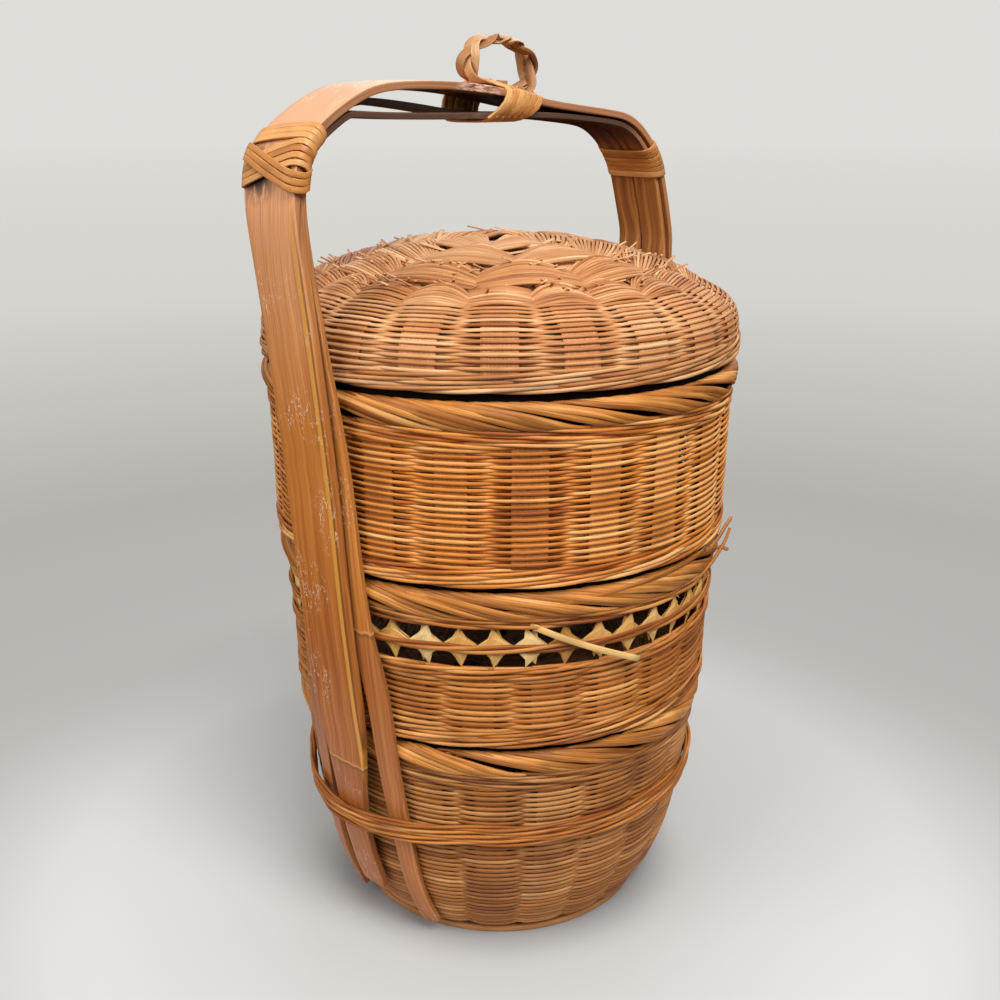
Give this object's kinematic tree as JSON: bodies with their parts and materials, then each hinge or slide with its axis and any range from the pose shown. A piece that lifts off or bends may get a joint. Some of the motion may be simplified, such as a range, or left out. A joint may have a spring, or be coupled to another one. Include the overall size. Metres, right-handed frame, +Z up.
{
  "type": "tiered food basket",
  "caption": "Round stacking food basket of woven cane: nested tiers and a domed lid inside a bent bamboo carrying handle tied to the bottom tier.",
  "frame": {"origin": "middle of the underside of the bottom tier, on the surface that the basket stands on", "axes": "+Z up along the stack's axis; the handle's legs stand at -X and +X; -Y is the side that faces the viewer to the right of the near leg"},
  "size_m": [0.2849, 0.2508, 0.4669],
  "materials": {
    "woven_cane": "woven round cane, oiled, satin",
    "border_cane": "flat split cane, satin",
    "floor_cane": "woven cane, dull",
    "lid_cane": "woven split cane, dry, satin",
    "bamboo_splint": "split bamboo, dull",
    "pale_bamboo_skin": "bamboo skin, natural sheen",
    "bent_bamboo": "heat-bent bamboo strip, varnished, worn",
    "lashing_cane": "flat wrapping cane, satin"
  },
  "bodies": {
    "base": {"base_floor": "floor_cane", "base_foot_ring": "bamboo_splint", "base_wall": "woven_cane", "base_upper_waling": "woven_cane", "base_rim_border": "border_cane", "base_collar": "bamboo_splint", "base_stakes": "bamboo_splint", "base_binding_band": "woven_cane", "handle_outer_strip": "bent_bamboo", "handle_inner_strip_front": "bent_bamboo", "handle_inner_strip_back": "bent_bamboo", "left_shoulder_lashing": "lashing_cane", "right_shoulder_lashing": "lashing_cane", "centre_lashing": "lashing_cane", "carrying_ring": "border_cane"},
    "middle": {"middle_lower_waling": "woven_cane", "middle_floor": "floor_cane", "middle_wall": "woven_cane", "middle_band_waling": "woven_cane", "middle_openwork": "pale_bamboo_skin", "middle_openwork_row": "woven_cane", "middle_upper_waling": "woven_cane", "middle_rim_border": "border_cane", "middle_collar": "bamboo_splint", "middle_stakes": "bamboo_splint"},
    "top": {"top_lower_waling": "woven_cane", "top_floor": "floor_cane", "top_wall": "woven_cane", "top_upper_waling": "woven_cane", "top_rim_border": "border_cane", "top_collar": "bamboo_splint", "top_stakes": "bamboo_splint"},
    "lid": {"lid_rim_waling": "woven_cane", "lid_wall": "lid_cane", "lid_crown_weave": "lid_cane", "lid_crown_plait": "pale_bamboo_skin", "lid_inner_hoop": "bamboo_splint", "lid_stakes": "bamboo_splint"}
  },
  "joints": [
    {"name": "middle_lift", "type": "slide", "parent": "base", "child": "middle", "axis": [0, 0, 1], "range_m": [0, 0.01]},
    {"name": "top_lift", "type": "slide", "parent": "middle", "child": "top", "axis": [0, 0, 1], "range_m": [0, 0.01]},
    {"name": "lid_lift", "type": "slide", "parent": "top", "child": "lid", "axis": [0, 0, 1], "range_m": [0, 0.012]}
  ]
}
